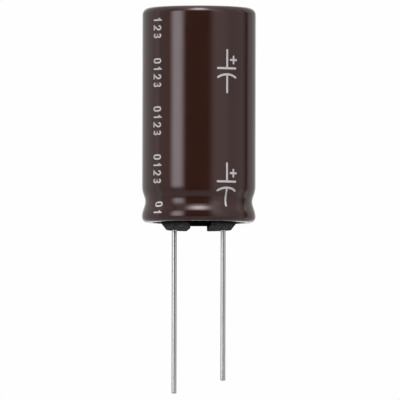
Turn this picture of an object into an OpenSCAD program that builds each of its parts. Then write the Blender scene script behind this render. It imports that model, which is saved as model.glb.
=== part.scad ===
// Radial aluminium electrolytic capacitor of the 18 mm class, with its rolled can, rubber bung,
// shrunk sleeve, wound roll and two leads.
// The origin is on the seating plane, midway between the leads, where the rubber feet meet a board.
// +Z runs up through the can. The leads stand along X, with the longer, positive one at -X.

/* [Can] */
// Outside diameter of the drawn can
can_d = 18; // [16:0.5:22]
// Height of the can, from the underside of its rolled edge to its closed end
can_h = 34.33; // [30:0.01:45]
// Thickness of the side wall
can_wall = 0.3; // [0.2:0.05:0.4]
// Thickness of the closed end
can_end_t = 0.4; // [0.35:0.05:0.6]
// Outside radius of the edge round the closed end
can_edge_r = 0.92; // [0.8:0.01:1.6]

/* [Vent] */
// Length of each score line across the closed end
vent_l = 10; // [6:0.5:11]
// Width of a score line at the surface
vent_w = 0.6; // [0.4:0.05:0.9]
// Depth of a score line
vent_depth = 0.2; // [0.1:0.05:0.25]

/* [Bead] */
// Depth of the bead below the can's side
bead_depth = 0.51; // [0.4:0.01:0.7]
// Slope of the bead's flanks, in degrees from the can's axis
bead_slope = 19; // [16:1:22]
// Outside radius of the bead at its neck
bead_r = 2.3; // [1.8:0.1:2.6]
// Outside radius where each flank runs out into the side
shoulder_r = 3.6; // [2.8:0.1:4]
// Height of the straight bulge between the bead and the rolled edge
bulge_h = 0.02; // [0.02:0.02:1]

/* [Rolled edge] */
// Outside radius where the side turns under
curl_r = 0.7; // [0.6:0.01:1.3]
// How far the rolled edge comes in from the side
curl_reach = 2.36; // [2.2:0.02:3]
// Outside radius where the edge turns up into the rubber
curl_turn_r = 0.5; // [0.45:0.01:0.6]
// Height of the cut edge above that turn
curl_edge_h = 0.4; // [0.2:0.05:0.8]

/* [Sleeve] */
// Thickness of the shrunk sleeve
sleeve_t = 0.18; // [0.08:0.01:0.2]
// How far the sleeve laps in over the closed end
sleeve_top_lap = 2.7; // [1.8:0.1:3]
// How far the sleeve laps in under the rolled edge
sleeve_foot_lap = 1.5; // [1.35:0.01:1.6]

/* [Bung] */
// Height of the rolled edge above the seating plane
standoff = 1.39; // [1:0.01:1.6]
// Height of the bung above the bead's upper end
bung_rise = 0.7; // [0.5:0.1:1.5]
// Chamfer round the bung's upper edge
bung_chamfer = 0.35; // [0.2:0.05:0.45]
// Diameter of the raised pad that carries the feet
pad_d = 12; // [11:0.02:12.4]
// Height of the taper round the pad
pad_taper_h = 1; // [0.5:0.05:1.2]
// Width of the taper round the pad
pad_taper_w = 0.78; // [0.4:0.02:1]
// Rounding of the feet's lower edges
foot_edge_r = 0.2; // [0.1:0.05:0.3]
// Width of the gas slot between the feet
slot_w = 3.2; // [2.6:0.1:4]
// Depth of the gas slot above the seating plane
slot_depth = 0.86; // [0.5:0.02:1]

/* [Leads] */
// Diameter of a lead
lead_d = 0.8; // [0.6:0.05:1]
// Distance between the leads
lead_pitch = 7.9; // [7:0.1:8.2]
// Length of the positive lead below the seating plane
anode_lead_l = 26.4; // [5:0.1:40]
// Length of the negative lead below the seating plane
cathode_lead_l = 24.3; // [5:0.1:40]
// Rounding of a lead's cut end
lead_tip_r = 0.16; // [0.05:0.01:0.25]
// How far the weld's taper shows on a lead below the feet
taper_show = 0.2; // [0.15:0.01:0.4]

/* [Tabs] */
// Diameter of a tab's round shank
tab_d = 2.4; // [1.8:0.1:3]
// Diameter of a tab's nose, where the lead is welded to it
tab_nose_d = 1.3; // [1.15:0.05:1.6]
// Height of the weld above the seating plane
weld_z = 1.3; // [1:0.1:2]
// Height of the cone between nose and shank
tab_cone_h = 0.6; // [0.4:0.1:1]
// Height over which the shank is pressed flat
tab_press_h = 1; // [0.6:0.1:1.5]
// Thickness of the flattened blade
blade_t = 0.3; // [0.2:0.05:0.5]
// Length of the blade inside the roll
blade_l = 20; // [10:0.5:22]

/* [Roll] */
// Gap between the pressed shanks and the roll's foot
roll_foot_gap = 0.2; // [0.1:0.05:0.5]
// Gap between the roll and the closed end
roll_top_gap = 0.9; // [0.5:0.1:2]
// Gap between the roll's tape and the side wall
roll_side_gap = 0.25; // [0.2:0.05:0.6]
// Diameter of the hole that the winding mandrel leaves
core_d = 3; // [2:0.1:3.5]
// Distance between the turns of paper that show at the ends
turn_pitch = 0.56; // [0.45:0.01:0.8]
// Thickness of a turn of paper
turn_t = 0.3; // [0.2:0.02:0.36]
// Height of the paper above the foil at each end
turn_rise = 0.5; // [0.3:0.05:0.8]
// Thickness of the tape round the roll
tape_t = 0.08; // [0.05:0.01:0.1]
// Width of foil left bare above and below the tape
tape_margin = 2.5; // [1:0.1:4]
// Angle over which the tape laps on itself
tape_lap = 50; // [20:5:90]

/* [Hidden] */
// Steps of an arc in a profile, and round a bore or shank
arc_n = 12;
bore_fn = 64;
// Extra length of a cut beyond the surface it starts from
cut = 1;

// Half the bead's height: a straight flank that runs smoothly into the neck and the shoulder
bead_h = bead_depth / tan(bead_slope) + (bead_r + shoulder_r) * tan(bead_slope / 2);

// Heights, from the seating plane up
foot_z = standoff;
bulge_z = foot_z + curl_r;
neck_z = bulge_z + bulge_h + bead_h;
bead_top_z = neck_z + bead_h;
bung_top_z = bead_top_z + bung_rise;
end_z = foot_z + can_h;
curl_edge_z = foot_z + curl_turn_r + curl_edge_h;
roll_foot_z = bung_top_z + tab_press_h + roll_foot_gap;
roll_top_z = end_z - can_end_t - roll_top_gap;

// Radii, from the can's axis out
can_r = can_d / 2;
bore_r = can_r - can_wall;
lip_r = can_r - curl_reach;
pad_r = pad_d / 2;
tape_r = bore_r - roll_side_gap;
roll_r = tape_r - 2 * tape_t;
core_r = core_d / 2;

// Points of an arc round the centre c, from angle a to angle b
function arc(c, r, a, b) =
    [for (i = [0 : arc_n]) let (t = a + (b - a) * i / arc_n) c + r * [cos(t), sin(t)]];

function reversed(line) = [for (i = [len(line) - 1 : -1 : 0]) line[i]];

// The can's side, from the top of the bead to the underside of the rolled edge, as seen in
// section and moved outwards by off
function side_line(off) = concat(
    arc([can_r - shoulder_r, bead_top_z], shoulder_r + off, 0, -bead_slope),
    arc([can_r - bead_depth + bead_r, neck_z], bead_r - off, 180 - bead_slope, 180 + bead_slope),
    arc([can_r - shoulder_r, bulge_z + bulge_h], shoulder_r + off, bead_slope, 0),
    arc([can_r - curl_r, bulge_z], curl_r + off, 0, -90));

// The turn of the rolled edge up into the rubber, moved outwards by off
function turn_line(off) =
    arc([lip_r + curl_turn_r, foot_z + curl_turn_r], curl_turn_r + off, -90, -180);

// The edge round the closed end, below the height top and moved outwards by off
function edge_line(top, off) =
    arc([can_r - can_edge_r, top - off - can_edge_r], can_edge_r + off, 90, 0);

// One straight score across the closed end, a V in section
module score() {
    translate([0, 0, end_z])
        rotate([90, 0, 0])
            linear_extrude(height = vent_l, center = true)
                polygon([[-vent_w, vent_depth], [0, -vent_depth], [vent_w, vent_depth]]);
}

// Drawn cup with a bead rolled in and its mouth rolled over the rubber
module can() {
    color([0.78, 0.79, 0.80])
        difference() {
            rotate_extrude($fn = 128)
                polygon(concat(
                    [[0, end_z]],
                    edge_line(end_z, 0),
                    side_line(0),
                    turn_line(0),
                    [[lip_r, curl_edge_z], [lip_r + can_wall, curl_edge_z]],
                    reversed(turn_line(-can_wall)),
                    reversed(side_line(-can_wall)),
                    reversed(edge_line(end_z - can_end_t - can_wall, -can_wall)),
                    [[0, end_z - can_end_t]]));
            score();
            rotate([0, 0, 90])
                score();
        }
}

// Plastic film, shrunk tight over the side, the edge of the closed end and the rolled edge
module sleeve() {
    color([0.27, 0.18, 0.16])
        rotate_extrude($fn = 128)
            polygon(concat(
                [[can_r - sleeve_top_lap, end_z + sleeve_t]],
                edge_line(end_z + sleeve_t, sleeve_t),
                side_line(sleeve_t),
                [[can_r - sleeve_foot_lap, foot_z - sleeve_t], [can_r - sleeve_foot_lap, foot_z]],
                reversed(side_line(0)),
                reversed(edge_line(end_z, 0)),
                [[can_r - sleeve_top_lap, end_z]]));
}

// The taper on a lead up to its weld, from just below the feet
module weld_taper() {
    translate([0, 0, -taper_show])
        cylinder(d1 = lead_d, d2 = tab_nose_d, h = weld_z + taper_show, $fn = bore_fn);
}

// The nose and round shank of a tab, up to the height top
module shank(top) {
    translate([0, 0, weld_z])
        cylinder(d1 = tab_nose_d, d2 = tab_d, h = tab_cone_h, $fn = bore_fn);
    translate([0, 0, weld_z + tab_cone_h])
        cylinder(d = tab_d, h = top - weld_z - tab_cone_h, $fn = bore_fn);
}

// Section of the gas slot, with the feet's lower edges rounded
module slot_section() {
    half = slot_w / 2;
    polygon(concat(
        [[-half, slot_depth], [half, slot_depth]],
        reversed(arc([half + foot_edge_r, foot_edge_r], foot_edge_r, 270, 180)),
        [[half + foot_edge_r, -cut], [-half - foot_edge_r, -cut]],
        reversed(arc([-half - foot_edge_r, foot_edge_r], foot_edge_r, 0, -90))));
}

// Moulded rubber seal: it fills the mouth and the bead, and stands on two feet
module bung() {
    taper_angle = atan(pad_taper_w / pad_taper_h);
    foot_r = pad_r - pad_taper_w;
    edge_in = foot_edge_r * tan((90 - taper_angle) / 2);
    color([0.16, 0.16, 0.16])
        difference() {
            rotate_extrude($fn = 128)
                polygon(concat(
                    [[0, bung_top_z], [bore_r - bung_chamfer, bung_top_z], [bore_r, bung_top_z - bung_chamfer]],
                    side_line(-can_wall),
                    turn_line(-can_wall),
                    [[lip_r + can_wall, curl_edge_z], [lip_r, curl_edge_z]],
                    [[lip_r, foot_z + curl_turn_r], [pad_r, foot_z + curl_turn_r], [pad_r, pad_taper_h]],
                    reversed(arc([foot_r - edge_in, foot_edge_r], foot_edge_r, -90, -taper_angle)),
                    [[0, 0]]));
            rotate([90, 0, 0])
                linear_extrude(height = pad_d + 2 * cut, center = true)
                    slot_section();
            for (side = [-1, 1])
                translate([side * lead_pitch / 2, 0, 0]) {
                    weld_taper();
                    shank(bung_top_z + cut);
                }
        }
}

// Tinned round wire below the weld's taper, with its cut end rounded
module lead(length) {
    color([0.75, 0.76, 0.76]) {
        rotate_extrude($fn = bore_fn)
            polygon(concat(
                [[0, -taper_show], [0, -length]],
                arc([lead_d / 2 - lead_tip_r, lead_tip_r - length], lead_tip_r, -90, 0),
                [[lead_d / 2, -taper_show]]));
        weld_taper();
    }
}

module anode_lead() {
    translate([-lead_pitch / 2, 0, 0])
        lead(anode_lead_l);
}

module cathode_lead() {
    translate([lead_pitch / 2, 0, 0])
        lead(cathode_lead_l);
}

// Space of the flattened blade in the roll, which is as wide as the shank
module blade() {
    translate([-blade_t / 2, -tab_d / 2, roll_foot_z - roll_foot_gap])
        cube([blade_t, tab_d, roll_foot_gap + blade_l]);
}

// Aluminium tab: a nose and a round shank in the bung, pressed to a flat blade above it
module tab() {
    color([0.82, 0.83, 0.84]) {
        shank(bung_top_z);
        intersection() {
            translate([0, 0, bung_top_z])
                cylinder(d = tab_d, h = tab_press_h, $fn = bore_fn);
            translate([0, 0, bung_top_z])
                rotate([90, 0, 0])
                    linear_extrude(height = tab_d, center = true)
                        polygon([[-tab_d / 2, 0], [tab_d / 2, 0], [blade_t / 2, tab_press_h], [-blade_t / 2, tab_press_h]]);
        }
        blade();
    }
}

module anode_tab() {
    translate([-lead_pitch / 2, 0, 0])
        tab();
}

module cathode_tab() {
    translate([lead_pitch / 2, 0, 0])
        tab();
}

// Edges of the paper turns: half rings whose centres alternate, so that they run on as a spiral
module paper_edges() {
    turns = floor((roll_r - core_r - turn_t) / turn_pitch);
    for (i = [0 : 2 * turns - 1])
        translate([(i % 2 == 0 ? 1 : -1) * turn_pitch / 4, 0, 0])
            rotate_extrude(angle = 180, start = i % 2 == 0 ? 0 : 180, $fn = 96)
                translate([core_r + turn_pitch / 4 + i * turn_pitch / 2, 0])
                    square([turn_t, turn_rise]);
}

// Foil and paper wound on a mandrel, with the paper proud of the foil at both ends
module roll() {
    color([0.72, 0.68, 0.60])
        difference() {
            union() {
                translate([0, 0, roll_foot_z + turn_rise])
                    cylinder(r = roll_r, h = roll_top_z - roll_foot_z - 2 * turn_rise, $fn = 128);
                translate([0, 0, roll_foot_z])
                    paper_edges();
                translate([0, 0, roll_top_z - turn_rise])
                    paper_edges();
            }
            translate([0, 0, roll_foot_z - cut])
                cylinder(r = core_r, h = roll_top_z - roll_foot_z + 2 * cut, $fn = bore_fn);
            for (side = [-1, 1])
                translate([side * lead_pitch / 2, 0, 0])
                    blade();
        }
}

// Tape once round the roll, with its end lapped over its start
module roll_tape() {
    tape_foot_z = roll_foot_z + turn_rise + tape_margin;
    tape_w = roll_top_z - turn_rise - tape_margin - tape_foot_z;
    color([0.85, 0.80, 0.62])
        translate([0, 0, tape_foot_z]) {
            rotate_extrude($fn = 128)
                translate([roll_r, 0])
                    square([tape_t, tape_w]);
            rotate_extrude(angle = tape_lap, start = 90, $fn = 128)
                translate([roll_r + tape_t, 0])
                    square([tape_t, tape_w]);
        }
}

sleeve();
can();
bung();
anode_lead();
cathode_lead();
anode_tab();
cathode_tab();
roll();
roll_tape();
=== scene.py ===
import math

import bmesh
import bpy
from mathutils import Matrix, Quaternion, Vector
from mathutils.bvhtree import BVHTree


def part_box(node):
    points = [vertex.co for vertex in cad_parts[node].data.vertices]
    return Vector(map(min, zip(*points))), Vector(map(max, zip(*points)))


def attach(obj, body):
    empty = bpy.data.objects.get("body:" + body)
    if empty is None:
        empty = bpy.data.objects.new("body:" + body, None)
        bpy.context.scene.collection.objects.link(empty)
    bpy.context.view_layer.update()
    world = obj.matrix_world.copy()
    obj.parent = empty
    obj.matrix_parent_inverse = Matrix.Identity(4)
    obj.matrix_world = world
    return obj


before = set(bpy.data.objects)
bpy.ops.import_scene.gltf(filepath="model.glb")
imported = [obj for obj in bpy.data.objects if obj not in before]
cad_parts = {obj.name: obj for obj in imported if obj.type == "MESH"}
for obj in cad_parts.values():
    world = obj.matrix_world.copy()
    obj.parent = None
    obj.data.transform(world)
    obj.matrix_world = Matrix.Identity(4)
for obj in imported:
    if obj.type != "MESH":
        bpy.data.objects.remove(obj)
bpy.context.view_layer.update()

MM = 0.001
PER_MM = 1000.0

# The photograph's view: a long lens, from a little below and a little to the left, in degrees
IMAGE_PX = 400
PX_PER_MM = 6.19
ELEVATION = -2.45
AZIMUTH = -3.0
ROLL = 0.12
CAMERA_DISTANCE = 2.1
CLIP = (0.01, 10)
# Pixel of the photograph where the origin, the middle of the seating plane, is seen
ORIGIN_PX = (198.7, 230.15)


def add_object(name, mesh):
    obj = bpy.data.objects.new(name, mesh)
    bpy.context.scene.collection.objects.link(obj)
    return obj


class NodeTree:
    """Short calls for the nodes that the materials and the world are made of."""

    def __init__(self, tree):
        self.nodes = tree.nodes
        self.links = tree.links

    def put(self, socket, value):
        if isinstance(value, bpy.types.NodeSocket):
            self.links.new(value, socket)
        else:
            socket.default_value = value

    def node(self, kind, inputs, **settings):
        node = self.nodes.new("ShaderNode" + kind)
        for name, value in settings.items():
            setattr(node, name, value)
        for name, value in inputs.items():
            self.put(node.inputs[name], value)
        return node.outputs[0]

    def math(self, operation, *values, clamp=False):
        return self.node("Math", dict(enumerate(values)), operation=operation, use_clamp=clamp)

    def ramp(self, value, low, high, start=0.0, end=1.0):
        """Smooth step from start at low to end at high."""
        ends = {"Value": value, "From Min": low, "From Max": high, "To Min": start, "To Max": end}
        return self.node("MapRange", ends, interpolation_type="SMOOTHSTEP")

    def band(self, value, low, high, soft):
        """One between low and high and nought outside, with edges twice soft wide."""
        rise = self.ramp(value, low - soft, low + soft)
        fall = self.ramp(value, high - soft, high + soft, 1.0, 0.0)
        return self.math("MULTIPLY", rise, fall)

    def radius(self, x, y):
        square = self.math("ADD", self.math("MULTIPLY", x, x), self.math("MULTIPLY", y, y))
        return self.math("SQRT", square)

    def split(self, vector):
        node = self.nodes.new("ShaderNodeSeparateXYZ")
        self.links.new(vector, node.inputs[0])
        return node.outputs

    def join(self, x, y, z):
        return self.node("CombineXYZ", {"X": x, "Y": y, "Z": z})

    def blend(self, factor, first, second):
        """Mix two colours."""
        node = self.nodes.new("ShaderNodeMix")
        node.data_type = "RGBA"
        sockets = [s for s in node.inputs if s.enabled]
        for socket, value in zip(sockets, (factor, first, second)):
            self.put(socket, (*value, 1) if isinstance(value, tuple) else value)
        return next(s for s in node.outputs if s.enabled)


# Camera

def make_camera():
    width = IMAGE_PX / PX_PER_MM * MM
    data = bpy.data.cameras.new("camera")
    data.lens = data.sensor_width * CAMERA_DISTANCE / width
    data.clip_start, data.clip_end = CLIP
    cam = add_object("camera", data)
    a = math.radians(AZIMUTH)
    e = math.radians(ELEVATION)
    back = Vector((math.sin(a) * math.cos(e), -math.cos(a) * math.cos(e), math.sin(e)))
    lean = Quaternion((0, 0, 1), math.radians(ROLL))
    rotation = (-back).to_track_quat("-Z", "Y") @ lean
    right = rotation @ Vector((1, 0, 0))
    up = rotation @ Vector((0, 1, 0))
    centre = IMAGE_PX / 2
    side_mm = (centre - ORIGIN_PX[0]) / PX_PER_MM
    rise_mm = (ORIGIN_PX[1] - centre) / PX_PER_MM
    cam.rotation_mode = "QUATERNION"
    cam.rotation_quaternion = rotation
    cam.location = (right * side_mm + up * rise_mm) * MM + back * CAMERA_DISTANCE
    bpy.context.scene.camera = cam


# Stage: a pale round floor that is seen from above and fades out into the white around it

FLOOR_RADIUS = 0.6
FLOOR_SEGMENTS = 96
FLOOR_FADE = 0.3
FLOOR_GAP = 0.2 * MM
FLOOR_SEEN = (0.62, 0.62, 0.62)
FLOOR_ROUGH = 0.6
FLOOR_SHINE = 0.1
# Light that the object gets back from the floor comes from a patch of it that is smaller by this
# factor, and darker
FLOOR_NEAR = 7.0
FLOOR_LIT = (0.42, 0.42, 0.42)


def make_floor():
    mesh = bpy.data.meshes.new("floor")
    bm = bmesh.new()
    bmesh.ops.create_circle(bm, cap_ends=True, radius=FLOOR_RADIUS, segments=FLOOR_SEGMENTS)
    bm.to_mesh(mesh)
    bm.free()
    floor = add_object("floor", mesh)
    floor.location.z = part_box("anode_lead")[0][2] - FLOOR_GAP

    mat = bpy.data.materials.new("floor")
    mat.use_nodes = True
    t = NodeTree(mat.node_tree)
    bsdf = t.nodes["Principled BSDF"]
    bsdf.inputs["Roughness"].default_value = FLOOR_ROUGH
    bsdf.inputs["Specular IOR Level"].default_value = FLOOR_SHINE
    camera_ray = t.nodes.new("ShaderNodeLightPath").outputs["Is Camera Ray"]
    t.put(bsdf.inputs["Base Color"], t.blend(camera_ray, FLOOR_LIT, FLOOR_SEEN))
    x, y, _ = t.split(t.nodes.new("ShaderNodeTexCoord").outputs["Object"])
    shrink = t.math("ADD", t.math("MULTIPLY", camera_ray, 1.0 - FLOOR_NEAR), FLOOR_NEAR)
    fade = t.ramp(t.math("MULTIPLY", t.radius(x, y), shrink), FLOOR_FADE, FLOOR_RADIUS)
    below = t.nodes.new("ShaderNodeNewGeometry").outputs["Backfacing"]
    mix = t.nodes.new("ShaderNodeMixShader")
    t.put(mix.inputs[0], t.math("MAXIMUM", fade, below))
    t.put(mix.inputs[1], bsdf.outputs[0])
    t.put(mix.inputs[2], t.nodes.new("ShaderNodeBsdfTransparent").outputs[0])
    t.put(t.nodes["Material Output"].inputs["Surface"], mix.outputs[0])
    mesh.materials.append(mat)


# Soft lights of the studio, each a patch of the surroundings with soft edges. "around" is in
# degrees round from the camera, with plus to the right, and "above" in degrees over the horizon
ALL_ROUND = (-180, 180)
LIGHTS = {
    "left strip": {"around": (-57, -33), "above": (-10, 23), "soft": (8, 12), "strength": 4.0},
    "left upper": {"around": (-57, -28), "above": (24, 75), "soft": (8, 10), "strength": 0.5},
    "left lower": {"around": (-60, -30), "above": (-45, -12), "soft": (8, 7), "strength": 0.4},
    "front top": {"around": (-21, 20), "above": (37, 73), "soft": (18, 11), "strength": 10.0},
    "right wall": {"around": (26, 106), "above": (-40, 60), "soft": (10, 20), "strength": 0.6},
    "right upper": {"around": (26, 48), "above": (10, 60), "soft": (8, 10), "strength": 0.5},
    "right low": {"around": (95, 126), "above": (-60, -12), "soft": (6, 6), "strength": 0.3},
    "right high": {"around": (95, 126), "above": (16, 60), "soft": (6, 8), "strength": 0.27},
    "right panel": {"around": (28, 62), "above": (-40, 60), "soft": (10, 20), "strength": 0.2},
    "left wall": {"around": (-175, -91), "above": (-60, 60), "soft": (5, 20), "strength": 0.6},
    "left fill": {"around": (-95, -62), "above": (-60, 60), "soft": (6, 20), "strength": 0.45},
    "back wall": {"around": (117, 200), "above": (-60, 60), "soft": (4, 20), "strength": 0.54},
    "low glow": {"around": ALL_ROUND, "above": (-45, -24), "soft": (5, 7), "strength": 0.12},
    "ceiling": {"around": ALL_ROUND, "above": (60, 100), "soft": (5, 20), "strength": 1.0},
}

# The white background, and where glossy surfaces see it, in degrees to either side of the camera
WHITE = 0.99
BEHIND = (162, 240)
BEHIND_SOFT = 8


def surroundings(t):
    """Brightness of the studio in each direction, and one where that lies behind the object."""
    x, y, z = t.split(t.nodes.new("ShaderNodeTexCoord").outputs["Generated"])
    facing = t.math("ARCTAN2", x, t.math("MULTIPLY", y, -1.0))
    around = t.math("SUBTRACT", t.math("DEGREES", facing), float(AZIMUTH))
    above = t.math("DEGREES", t.math("ARCSINE", z))
    total = 0.0
    for light in LIGHTS.values():
        soft_around, soft_above = light["soft"]
        patch = t.math("MULTIPLY", t.band(above, *light["above"], soft_above), light["strength"])
        if light["around"] != ALL_ROUND:
            patch = t.math("MULTIPLY", patch, t.band(around, *light["around"], soft_around))
        total = t.math("ADD", total, patch)
    behind = t.band(t.math("ABSOLUTE", around), *BEHIND, BEHIND_SOFT)
    return total, behind


def make_world():
    world = bpy.data.worlds.new("world")
    bpy.context.scene.world = world
    world.use_nodes = True
    t = NodeTree(world.node_tree)
    t.nodes.clear()
    light = t.nodes.new("ShaderNodeBackground")
    light.inputs["Color"].default_value = (1, 1, 1, 1)
    total, behind = surroundings(t)
    t.put(light.inputs["Strength"], total)
    seen = t.nodes.new("ShaderNodeBackground")
    seen.inputs["Color"].default_value = (WHITE, WHITE, WHITE, 1)
    path = t.nodes.new("ShaderNodeLightPath").outputs
    mix = t.nodes.new("ShaderNodeMixShader")
    direct = t.math("MAXIMUM", path["Is Camera Ray"], path["Is Transmission Ray"])
    mirrored = t.math("MULTIPLY", path["Is Glossy Ray"], behind)
    t.put(mix.inputs[0], t.math("MAXIMUM", direct, mirrored))
    t.put(mix.inputs[1], light.outputs[0])
    t.put(mix.inputs[2], seen.outputs[0])
    t.put(t.nodes.new("ShaderNodeOutputWorld").inputs["Surface"], mix.outputs[0])


# Materials, with sizes, places and heights in mm

# Values of a noise that are stretched over a material's own range
NOISE_MIDDLE = (0.3, 0.7)
# Half the width of the soft edge of a print
PRINT_EDGE = 0.03


class Material(NodeTree):
    """A Principled material whose patterns lie in the object's own millimetres."""

    def __init__(self, name, **constants):
        self.mat = bpy.data.materials.new(name)
        self.mat.use_nodes = True
        super().__init__(self.mat.node_tree)
        self.bsdf = self.nodes["Principled BSDF"]
        for socket, value in constants.items():
            self.bsdf.inputs[socket.replace("_", " ")].default_value = value
        metres = self.nodes.new("ShaderNodeTexCoord").outputs["Object"]
        scale = self.nodes.new("ShaderNodeVectorMath")
        scale.operation = "SCALE"
        scale.inputs["Scale"].default_value = PER_MM
        self.links.new(metres, scale.inputs[0])
        self.place = scale.outputs[0]
        self.x, self.y, self.z = self.split(self.place)

    def set(self, **values):
        for socket, value in values.items():
            self.put(self.bsdf.inputs[socket.replace("_", " ")], value)

    def noise(self, size, detail=2.0, along=1.0):
        """Noise with features of about size mm, drawn out along the axis by a factor."""
        place = self.place
        if along != 1.0:
            place = self.join(self.x, self.y, self.math("DIVIDE", self.z, along))
        inputs = {"Vector": place, "Scale": 1.0 / size, "Detail": detail}
        return self.node("TexNoise", inputs, normalize=True)

    def spread(self, value, low=0.0, high=1.0):
        """Stretch the middle of a noise over low to high."""
        return self.ramp(value, *NOISE_MIDDLE, low, high)

    def printed(self, distance, half):
        """One where a distance is less than half, with the edge of a print."""
        return self.ramp(distance, half - PRINT_EDGE, half + PRINT_EDGE, 1.0, 0.0)

    def bump(self, *layers):
        """Relief from layers of (noise, height in mm)."""
        total = 0.0
        for value, height in layers:
            total = self.math("ADD", total, self.math("MULTIPLY", value, height))
        inputs = {"Height": total, "Distance": MM, "Strength": 1.0}
        self.set(Normal=self.node("Bump", inputs))


# Polarity stripe on the cathode's side, bare film showing through it as minus signs
STRIPE_AROUND = 99.0
STRIPE_HALF = 2.3
MINUS_HALF_W = 1.25
MINUS_HALF_H = 0.33
MINUS_STEP = 5.2
# The film sits a little deeper halfway down the bead's lower flank
SLACK = 0.05
SLACK_Z = (3.1, 3.9)
SLACK_SOFT = 0.45
FILM_BROWN = (0.0335, 0.0123, 0.0088)
FILM_DARK = (0.030, 0.011, 0.0078)
FILM_TINT = (1.0, 0.91, 0.96, 1)
FILM_ROUGH = (0.09, 0.14)
FILM_WAVES = 0.008
FILM_GRAIN = 0.0004
# Ink of the print, thin in places, and rougher than the film
INK = (0.55, 0.52, 0.535)
INK_THIN = (0.43, 0.40, 0.41)
INK_ROUGHER = 0.18
INK_ROUGH = (0.25, 0.4)


def film_material():
    m = Material("shrink_film", IOR=1.5, Specular_IOR_Level=0.54, Specular_Tint=FILM_TINT)
    around = m.math("DEGREES", m.math("ARCTAN2", m.x, m.math("MULTIPLY", m.y, -1.0)))
    off_middle = m.math("RADIANS", m.math("SUBTRACT", around, STRIPE_AROUND))
    aside = m.math("MULTIPLY", m.math("ABSOLUTE", off_middle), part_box("sleeve")[1][0] * PER_MM)
    step = m.math("PINGPONG", m.z, MINUS_STEP / 2)
    in_sign = m.math("MULTIPLY", m.printed(aside, MINUS_HALF_W), m.printed(step, MINUS_HALF_H))
    inked = m.math("SUBTRACT", m.printed(aside, STRIPE_HALF), in_sign, clamp=True)
    film = m.blend(m.spread(m.noise(size=6.0, along=3.0)), FILM_DARK, FILM_BROWN)
    ink = m.blend(m.spread(m.noise(size=0.25, detail=4.0), high=0.5), INK, INK_THIN)
    smear = m.spread(m.noise(size=3.0, detail=4.0), *FILM_ROUGH)
    m.set(
        Base_Color=m.blend(inked, film, ink),
        Roughness=m.math("ADD", smear, m.math("MULTIPLY", inked, INK_ROUGHER)),
    )
    flank = m.band(m.z, *SLACK_Z, SLACK_SOFT)
    waves = m.noise(size=3.5, along=3.0)
    m.bump((waves, FILM_WAVES), (m.noise(size=0.7), FILM_GRAIN), (flank, -SLACK))
    return m.mat


def ink_material():
    m = Material("ink", IOR=1.5)
    ink = m.blend(m.spread(m.noise(size=0.25, detail=4.0), high=0.6), INK, INK_THIN)
    m.set(Base_Color=ink, Roughness=m.spread(m.noise(size=0.5), *INK_ROUGH))
    return m.mat


# Drawn aluminium of the can
CAN_GREY = (0.74, 0.75, 0.77)
CAN_PALE = (0.83, 0.83, 0.84)
CAN_CLOUD_ROUGH = 0.08
CAN_GRAIN_ROUGH = (0.24, 0.34)
RINGS_PER_MM = 5.0
RING_HEIGHT = 0.004
CAN_GRAIN = 0.002
# Painted shade makes its rolled edge near black, in colour and reflection, where it turns up beside the
# rubber: radius and height
LIP_R = (7.04, 7.2)
LIP_Z = (2.0, 2.4)
LIP_PAINTED_SHADE = (0.01, 0.01, 0.01)
LIP_UNTINTED = (1.0, 1.0, 1.0)


def aluminium_material():
    m = Material("aluminium", Metallic=1.0)
    from_axis = m.radius(m.x, m.y)
    outward = {"Vector": m.join(from_axis, 0.0, 0.0), "Scale": RINGS_PER_MM, "Detail": 4.0}
    rings = m.node("TexNoise", outward)
    grain = m.noise(size=0.12, detail=3.0, along=4.0)
    cloud = m.noise(size=4.0, detail=4.0)
    metal = m.blend(m.spread(cloud), CAN_GREY, CAN_PALE)
    # Painted shade: the rolled edge beside the rubber turns near black, and its reflection is tinted
    # dark too
    inward = m.ramp(from_axis, *LIP_R, 1.0, 0.0)
    lip_painted_shade = m.math("MULTIPLY", inward, m.ramp(m.z, *LIP_Z, 1.0, 0.0))
    uneven = m.spread(cloud, high=CAN_CLOUD_ROUGH)
    m.set(
        Base_Color=m.blend(lip_painted_shade, metal, LIP_PAINTED_SHADE),
        Specular_Tint=m.blend(lip_painted_shade, LIP_UNTINTED, LIP_PAINTED_SHADE),
        Roughness=m.math("ADD", uneven, m.spread(grain, *CAN_GRAIN_ROUGH)),
    )
    m.bump((rings, RING_HEIGHT), (grain, CAN_GRAIN))
    return m.mat


# Matt rubber, dusty on the feet, with painted shade that darkens it further up and painted shade that
# turns the slot between the feet near black
FOOT_DARK = (0.03, 0.03, 0.029)
FOOT_DUSTY = (0.118, 0.116, 0.112)
RUBBER_PAINTED_SHADE = (0.0095, 0.0095, 0.0095)
SLOT_PAINTED_SHADE = (0.003, 0.003, 0.003)
PAINTED_SHADE_Z = (0.45, 1.3)
SLOT_X = (1.5, 2.2)
SLOT_Z = (0.35, 0.7)
DUST_PATCHES = (0.4, 1.0)
RUBBER_SHINE = 0.0
RUBBER_ROUGH = (0.8, 0.95)
RUBBER_GRAIN = 0.012
RUBBER_WAVES = 0.02


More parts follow.
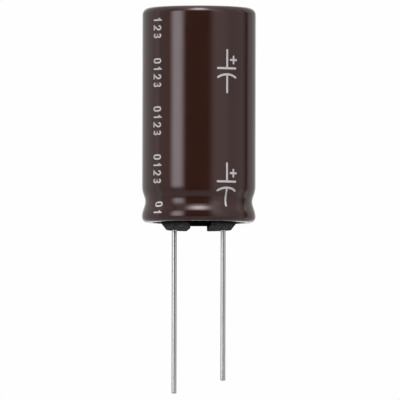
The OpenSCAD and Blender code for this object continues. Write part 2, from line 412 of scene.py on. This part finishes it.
def rubber_material():
    m = Material("rubber", IOR=1.5, Specular_IOR_Level=RUBBER_SHINE)
    specks = m.spread(m.noise(size=0.4, detail=6.0))
    dust = m.math("MULTIPLY", specks, m.spread(m.noise(size=5.0), *DUST_PATCHES))
    worn = m.blend(dust, FOOT_DARK, FOOT_DUSTY)
    # Painted shade: the rubber darkens further up the feet, towards the bung's face
    shaded = m.blend(m.ramp(m.z, *PAINTED_SHADE_Z), worn, RUBBER_PAINTED_SHADE)
    # Painted shade: near black in the slot between the feet, above the soles
    in_slot = m.ramp(m.math("ABSOLUTE", m.x), *SLOT_X, 1.0, 0.0)
    slot = m.math("MULTIPLY", in_slot, m.ramp(m.z, *SLOT_Z))
    m.set(
        Base_Color=m.blend(slot, shaded, SLOT_PAINTED_SHADE),
        Roughness=m.spread(m.noise(size=0.6, detail=3.0), *RUBBER_ROUGH),
    )
    grain = m.noise(size=0.14, detail=3.0)
    m.bump((grain, RUBBER_GRAIN), (m.noise(size=1.5), RUBBER_WAVES))
    return m.mat


# Tinned wire, drawn through a die, with dark edges
TIN_GREY = (0.57, 0.565, 0.555)
TIN_PALE = (0.63, 0.62, 0.61)
TIN_EDGE = (0.3, 0.3, 0.3, 1)
TIN_LINE_ROUGH = (0.26, 0.3)
TIN_CLOUD_ROUGH = 0.05
TIN_LINES = 0.0008


def tin_material():
    m = Material("tin", Metallic=1.0, Specular_Tint=TIN_EDGE)
    lines = m.noise(size=0.08, along=200.0)
    cloud = m.noise(size=3.0, detail=3.0, along=3.0)
    uneven = m.spread(cloud, high=TIN_CLOUD_ROUGH)
    m.set(
        Base_Color=m.blend(m.spread(cloud), TIN_GREY, TIN_PALE),
        Roughness=m.math("ADD", m.spread(lines, *TIN_LINE_ROUGH), uneven),
    )
    m.bump((lines, TIN_LINES))
    return m.mat


# Pressed aluminium of the tabs
TAB_GREY = (0.66, 0.67, 0.68)
TAB_PALE = (0.80, 0.80, 0.80)
TAB_ROUGH = (0.3, 0.42)
TAB_LINES = 0.003


def tab_material():
    m = Material("foil", Metallic=1.0)
    brushed = m.noise(size=0.08, detail=3.0, along=25.0)
    m.set(
        Base_Color=m.blend(m.spread(brushed), TAB_GREY, TAB_PALE),
        Roughness=m.spread(m.noise(size=0.8, detail=3.0), *TAB_ROUGH),
    )
    m.bump((brushed, TAB_LINES))
    return m.mat


# Turns of the roll: half the thickness of a foil with its papers, and how far they wander
LAYER = 0.14
LAYER_WOBBLE = 0.25
LAYER_GROOVE = 0.2
PAPER_GRAIN = 0.01
# Share of a layer that is foil, where it starts and ends to fade
FOIL_SHARE = (0.2, 0.35)
KRAFT = (0.43, 0.31, 0.19)
KRAFT_WET = (0.27, 0.18, 0.10)
KRAFT_ROUGH = (0.55, 0.8)
FOIL_GREY = (0.36, 0.36, 0.35)


def roll_material():
    m = Material("paper_and_foil", IOR=1.45)
    wobble = m.math("MULTIPLY", m.noise(size=2.0), LAYER_WOBBLE)
    layer = m.math("PINGPONG", m.math("ADD", m.radius(m.x, m.y), wobble), LAYER)
    paper = m.blend(m.spread(m.noise(size=0.9, detail=5.0)), KRAFT, KRAFT_WET)
    foil_start, foil_end = (share * LAYER for share in FOIL_SHARE)
    foil_edge = m.ramp(layer, foil_start, foil_end, 1.0, 0.0)
    m.set(
        Base_Color=m.blend(foil_edge, paper, FOIL_GREY),
        Roughness=m.spread(m.noise(size=0.3, detail=3.0), *KRAFT_ROUGH),
    )
    m.bump((layer, LAYER_GROOVE), (m.noise(size=0.15, detail=3.0), PAPER_GRAIN))
    return m.mat


# Thin brownish tape around the roll
TAPE_BROWN = (0.62, 0.50, 0.30)
TAPE_PALE = (0.70, 0.58, 0.38)
TAPE_ROUGH = (0.18, 0.3)
TAPE_WAVES = 0.01


def tape_material():
    m = Material("tape", IOR=1.49)
    cloud = m.noise(size=2.5, detail=3.0, along=0.4)
    m.set(
        Base_Color=m.blend(m.spread(cloud), TAPE_BROWN, TAPE_PALE),
        Roughness=m.spread(m.noise(size=1.0), *TAPE_ROUGH),
    )
    m.bump((m.noise(size=1.2, along=0.5), TAPE_WAVES))
    return m.mat


FINISHES = {
    "sleeve": film_material,
    "can": aluminium_material,
    "bung": rubber_material,
    "anode_lead": tin_material,
    "cathode_lead": tin_material,
    "anode_tab": tab_material,
    "cathode_tab": tab_material,
    "roll": roll_material,
    "roll_tape": tape_material,
}


def dress_nodes():
    made = {}
    for node, finish in FINISHES.items():
        if finish not in made:
            made[finish] = finish()
        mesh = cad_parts[node].data
        mesh.materials.clear()
        mesh.materials.append(made[finish])


# Print: plain generic marks in ink on the film. Strokes are drawn on flat film, in mm along the
# line of print (u) and up its characters (v), then laid on the sleeve so that the line runs down
# and the characters' tops point to the right

INK_PROUD = 0.008
INK_SUNK = 0.03
STROKE_STEP = 0.12
# How a stroke's end is rounded: distance beyond it and half width there, as shares of its half width
ROUND_END = ((0.5, 0.87), (0.85, 0.53), (0.98, 0.2))
# Least cosine that a mitre at a sharp bend is worked out with
SHARPEST_MITRE = 0.35
SAME_POINT = 1e-6


def points(*pairs):
    return [Vector(pair) for pair in pairs]


def arc(centre_u, centre_v, radius, start, stop, steps=10):
    """Points on an arc from start to stop, in degrees from the line of print."""
    turns = [math.radians(start + (stop - start) * i / steps) for i in range(steps + 1)]
    places = [(centre_u + radius * math.cos(a), centre_v + radius * math.sin(a)) for a in turns]
    return points(*places)


# Plain digits on a character one high and 0.6 wide
ZERO = arc(0.3, 0.7, 0.3, 0, 180) + arc(0.3, 0.3, 0.3, 180, 360) + points((0.6, 0.7))
ONE = points((0.12, 0.78), (0.34, 1.0), (0.34, 0.0))
TWO = arc(0.3, 0.7, 0.3, 165, -38) + points((0.02, 0.0), (0.6, 0.0))
THREE = arc(0.3, 0.755, 0.245, 150, -90) + arc(0.3, 0.255, 0.255, 80, -150)
DIGITS = (ZERO, ONE, TWO, THREE)

# Circuit sign of a capacitor with a plus, on a field one high and two long
CAPACITOR = (
    points((0.0, 0.5), (0.82, 0.5)),
    points((0.86, 0.02), (0.86, 0.98)),
    arc(2.05, 0.5, 0.9, 212, 148),
    points((1.24, 0.5), (2.0, 0.5)),
    points((0.3, 0.86), (0.62, 0.86)),
    points((0.46, 0.70), (0.46, 0.795)),
    points((0.46, 0.925), (0.46, 1.02)),
)


def resample(path, step):
    """Points along a path, no further apart than step."""
    out = [path[0]]
    for a, b in zip(path, path[1:]):
        count = max(1, math.ceil((b - a).length / step))
        out += [a.lerp(b, i / count) for i in range(1, count + 1)]
    return out


def ribs(path, half):
    """Left and right edge points of a stroke, mitred at its bends and rounded at its ends."""
    closed = (path[0] - path[-1]).length < SAME_POINT
    dirs = [(b - a).normalized() for a, b in zip(path, path[1:])]
    rows = []
    for i, point in enumerate(path):
        before = dirs[i - 1] if i or closed else dirs[0]
        after = dirs[i] if i < len(dirs) else (dirs[0] if closed else dirs[-1])
        middle = (before + after).normalized()
        reach = half / max(middle.dot(after), SHARPEST_MITRE)
        side = Vector((-middle.y, middle.x)) * reach
        rows.append((point + side, point - side))
    if not closed:
        for beyond, share in ROUND_END:
            right, left = round_row(path[0], -dirs[0], half, beyond, share)
            rows.insert(0, (left, right))
            rows.append(round_row(path[-1], dirs[-1], half, beyond, share))
    return rows, closed


def round_row(end, way, half, beyond, share):
    """Edge points of a stroke beyond its end."""
    side = Vector((-way.y, way.x)) * half * share
    middle = end + way * half * beyond
    return middle + side, middle - side


def sleeve_surface():
    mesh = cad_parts["sleeve"].data
    corners = [v.co.copy() for v in mesh.vertices]
    return BVHTree.FromPolygons(corners, [list(p.vertices) for p in mesh.polygons])


def add_stroke(bm, film, path, half, around, top):
    """Lay one stroke on the sleeve: around is in degrees at v nought, top is the height at u nought."""
    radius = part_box("sleeve")[1][0]
    rows, closed = ribs(resample(path, STROKE_STEP), half)
    rings = []
    for left, right in rows:
        ring = []
        for point in (left, right):
            angle = math.radians(around) + point.y * MM / radius
            out = Vector((math.sin(angle), -math.cos(angle), 0))
            start = out * radius * 2 + Vector((0, 0, top - point.x * MM))
            hit, normal, _, _ = film.ray_cast(start, -out)
            ring.append((hit + normal * INK_PROUD * MM, hit - normal * INK_SUNK * MM))
        (a, a_in), (b, b_in) = ring
        rings.append([bm.verts.new(p) for p in (a, b, b_in, a_in)])
    pairs = list(zip(rings, rings[1:]))
    if closed:
        pairs.append((rings[-1], rings[0]))
    else:
        bm.faces.new(rings[0])
        bm.faces.new(rings[-1][::-1])
    for near, far in pairs:
        for i in range(4):
            j = (i + 1) % 4
            bm.faces.new((near[j], near[i], far[i], far[j]))


def add_print(name, strokes, ink):
    """One printed mark as a piece: strokes are (path, half width, around, top)."""
    film = sleeve_surface()
    bm = bmesh.new()
    for path, half, around, top in strokes:
        add_stroke(bm, film, path, half, around, top)
    bmesh.ops.recalc_face_normals(bm, faces=bm.faces)
    mesh = bpy.data.meshes.new(name)
    bm.to_mesh(mesh)
    bm.free()
    mesh.materials.append(ink)
    piece = add_object(name, mesh)
    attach(piece, "root")


def image_row_height(row):
    """Height in metres of a point on the sleeve's near side that is seen at a row of the photograph."""
    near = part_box("sleeve")[1][0]
    depth_rise = near * math.tan(math.radians(ELEVATION))
    return (ORIGIN_PX[1] - row) / PX_PER_MM * MM + depth_rise


# Column of digits at the left: rows of the photograph where its groups start, and its sizes in mm
DIGIT_ROWS = (
    (17.5, DIGITS[1:]),
    (58.5, DIGITS),
    (106.5, DIGITS),
    (154.5, DIGITS),
    (201.5, DIGITS[:2]),
)
DIGIT_H = 1.55
DIGIT_W = 1.0
DIGIT_STEP = 1.28
DIGIT_HALF = 0.13
DIGIT_AROUND = -55.0

# Circuit signs: rows of the photograph where they start, and their sizes in mm
SIGN_ROWS = (50, 163)
SIGN_H = 3.4
SIGN_HALF = 0.17
SIGN_AROUND = 16.0


def make_print():
    ink = ink_material()
    digit_strokes = []
    for row, digits in DIGIT_ROWS:
        top = image_row_height(row)
        for place, digit in enumerate(digits):
            path = [Vector((place * DIGIT_STEP + p.x * DIGIT_W, p.y * DIGIT_H)) for p in digit]
            digit_strokes.append((path, DIGIT_HALF, DIGIT_AROUND, top))
    add_print("print_digits", digit_strokes, ink)
    sign_strokes = []
    for row in SIGN_ROWS:
        top = image_row_height(row)
        for line in CAPACITOR:
            sign_strokes.append(([p * SIGN_H for p in line], SIGN_HALF, SIGN_AROUND, top))
    add_print("print_signs", sign_strokes, ink)


make_camera()
make_floor()
make_world()
dress_nodes()
make_print()
bpy.context.scene.view_settings.view_transform = "Standard"
